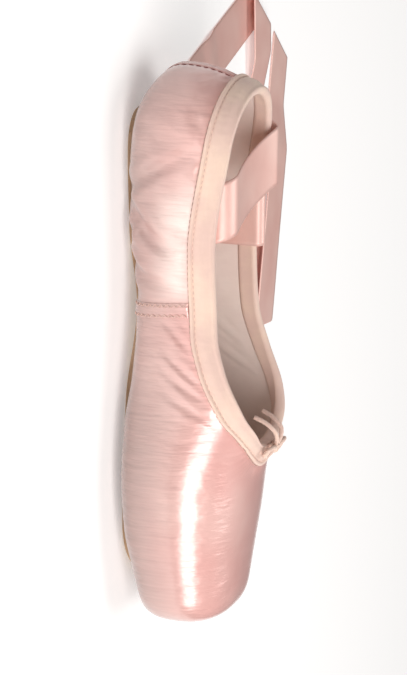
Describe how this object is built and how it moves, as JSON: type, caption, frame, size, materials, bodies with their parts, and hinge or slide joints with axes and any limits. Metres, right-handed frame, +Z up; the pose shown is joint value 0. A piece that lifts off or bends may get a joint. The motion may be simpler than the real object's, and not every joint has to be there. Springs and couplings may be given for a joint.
{
  "type": "pointe shoe",
  "caption": "Satin pointe shoe with a stiff toe box and flat platform, bound drawstring topline, side and back seams, short leather sole and sewn ribbon ties lying loose.",
  "frame": {"origin": "on the floor under the middle of the shoe, midway along and across it", "axes": "+X to the toe, +Z up, -Y to the inner side when worn on a left foot"},
  "size_m": [0.2352, 0.2224, 0.0603],
  "materials": {
    "satin": "pale pink satin with a soft sheen",
    "ribbon_satin": "pale pink satin ribbon",
    "binding_cotton": "peach cotton tape and cord, matt",
    "sole_leather": "pale split leather, matt",
    "insole_cotton": "undyed cotton, matt"
  },
  "bodies": {
    "root": {"upper": "satin", "outsole": "sole_leather", "insole": "insole_cotton", "binding": "binding_cotton", "side_seam_inner": "satin", "side_seam_outer": "satin", "back_seam": "satin", "drawstring_bow": "binding_cotton", "ribbon_inner": "ribbon_satin", "ribbon_outer": "ribbon_satin"}
  },
  "joints": []
}
